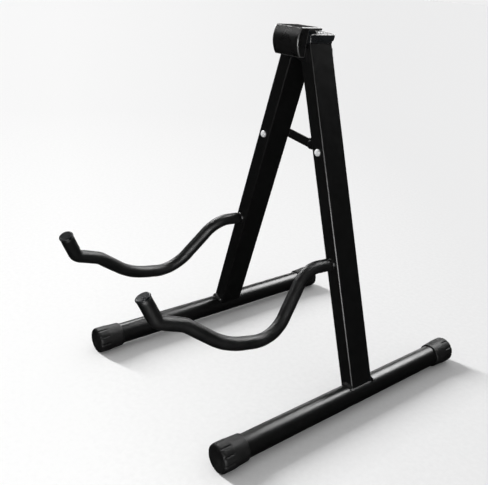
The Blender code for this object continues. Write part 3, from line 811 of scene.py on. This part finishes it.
def floor_finish():
    """Pale matt board with faint mottling, and a painted light falloff: a little brighter towards the key
    light's side and dimmer far off.
    """
    finish = Finish("pale_floor", 0.85, 0.0)
    offset = finish.vector_math("SUBTRACT", finish.coords, PAINTED_FALLOFF_FROM)
    outward = finish.vector_math("NORMALIZE", offset)
    distance = finish.vector_math("LENGTH", offset, output="Value")
    across = finish.vector_math("DOT_PRODUCT", outward, PAINTED_FALLOFF_ALONG, "Value")
    settled = finish.math("MULTIPLY", across, finish.ramp(distance, 0.10, 0.50))
    # Painted light falloff: lighter towards the key's side, darker with distance.
    painted_key_side = finish.ramp(settled, -0.36, 0.36)
    painted_distance_falloff = finish.ramp(distance, 0.75, 2.2, 0.0, 0.42)
    mottle = finish.ramp(finish.noise(170.0, 4.0), 0.3, 0.7, -0.12, 0.12)
    tone = finish.math("ADD", finish.math("ADD", painted_key_side, painted_distance_falloff), mottle)
    finish.colour(finish.mix(tone, FLOOR_BRIGHT, FLOOR_DIM))
    finish.vary_roughness(finish.noise(40.0), 0.05)
    finish.bump(finish.noise(260.0, 4.0), 0.0004, 0.25)
    return finish.material


def build_floor():
    """Round floor that reaches the horizon, left out of every reflection."""
    mesh = bpy.data.meshes.new("floor")
    mesh.from_pydata([(x, y, 0.0) for x, y in circle(FLOOR_R, 96)], [], [range(96)])
    mesh.materials.append(floor_finish())
    floor = bpy.data.objects.new("floor", mesh)
    bpy.context.collection.objects.link(floor)
    floor.visible_glossy = False


def build_surround():
    """Plain band beyond the floor's edge, seen by the camera alone, in the floor's own tone."""
    glow = bpy.data.materials.new("pale_surround")
    glow.use_nodes = True
    shader = glow.node_tree.nodes["Principled BSDF"]
    shader.inputs["Base Color"].default_value = (0.0, 0.0, 0.0, 1.0)
    shader.inputs["Specular IOR Level"].default_value = 0.0
    shader.inputs["Emission Color"].default_value = SURROUND_TONE
    shader.inputs["Emission Strength"].default_value = 1.0
    ring = circle(FLOOR_R * 0.98, 96)
    mesh = build_mesh("surround", [[(x, y, z) for x, y in ring] for z in (0.0, FLOOR_R)], caps=False)
    mesh.materials.append(glow)
    band = bpy.data.objects.new("surround", mesh)
    bpy.context.collection.objects.link(band)
    band.visible_diffuse = False
    band.visible_glossy = False
    band.visible_shadow = False


def aim(obj, direction):
    """Turn a light so that it shines back along a direction."""
    obj.rotation_euler = Vector(direction).to_track_quat("Z", "Y").to_euler()


def softbox(name, place, target, width, height, power):
    """Rectangular light that is seen in reflections alone."""
    light = bpy.data.lights.new(name, "AREA")
    light.shape = "RECTANGLE"
    light.size = width
    light.size_y = height
    light.energy = power
    obj = bpy.data.objects.new(name, light)
    bpy.context.collection.objects.link(obj)
    obj.location = place
    aim(obj, Vector(place) - Vector(target))
    obj.visible_diffuse = False
    obj.visible_camera = False


def build_key(blockers):
    """Tall narrow key from the left: a stack of small suns, so the floor is lit evenly."""
    shade = bpy.data.collections.new("key_blockers")
    for obj in blockers:
        shade.objects.link(obj)
    for k, elevation in enumerate(KEY_ELEVATIONS):
        light = bpy.data.lights.new(f"key_{k}", "SUN")
        light.energy = KEY_STRENGTH
        light.angle = KEY_ANGLE
        obj = bpy.data.objects.new(f"key_{k}", light)
        bpy.context.collection.objects.link(obj)
        high = math.radians(elevation)
        level = Vector((math.cos(KEY_AZIMUTH), math.sin(KEY_AZIMUTH), 0.0)) * math.cos(high)
        aim(obj, level + Vector((0.0, 0.0, math.sin(high))))
        obj.visible_glossy = False
        obj.light_linking.blocker_collection = shade


def build_lights(blockers):
    """Even room light, the key, and the softboxes."""
    world = bpy.data.worlds.new("soft_room")
    world.use_nodes = True
    background = world.node_tree.nodes["Background"]
    background.inputs["Color"].default_value = (1.0, 1.0, 1.0, 1.0)
    background.inputs["Strength"].default_value = WORLD_STRENGTH
    world.cycles_visibility.glossy = False
    bpy.context.scene.world = world
    build_key(blockers)
    for row in SOFTBOXES:
        softbox(*row)


def build_camera():
    """Camera at the product view: its place, direction, roll and field of view."""
    level = math.cos(CAMERA_ELEVATION)
    ahead = Vector((-math.sin(CAMERA_AZIMUTH) * level, math.cos(CAMERA_AZIMUTH) * level,
                    -math.sin(CAMERA_ELEVATION)))
    right = ahead.cross(Vector((0.0, 0.0, 1.0))).normalized()
    up = right.cross(ahead)
    turned_right = right * math.cos(CAMERA_ROLL) + up * math.sin(CAMERA_ROLL)
    turned_up = up * math.cos(CAMERA_ROLL) - right * math.sin(CAMERA_ROLL)
    lens = bpy.data.cameras.new("product_view")
    lens.lens = CAMERA_LENS
    lens.shift_x, lens.shift_y = CAMERA_SHIFT
    lens.clip_start = 0.02
    lens.clip_end = 60.0
    camera = bpy.data.objects.new("product_view", lens)
    bpy.context.collection.objects.link(camera)
    rotation = Matrix((turned_right, turned_up, -ahead)).transposed().to_4x4()
    camera.matrix_world = Matrix.Translation(CAMERA_PLACE) @ rotation
    bpy.context.scene.camera = camera


# ---------------------------------------------------------------- the stand

ground_shapes = []
for side, label in ((-1, "left"), (1, "right")):
    body = f"{label}_frame"
    ground_shapes += build_foot(side, label, body)
    build_leg(side, label, body)
    build_arm(side, label, body)
build_bumper("left_frame")
build_pivots()
dress_frame_nodes(frame["nodes"])
build_floor()
build_surround()
build_lights(ground_shapes)
build_camera()
bpy.context.scene.view_settings.view_transform = "Standard"
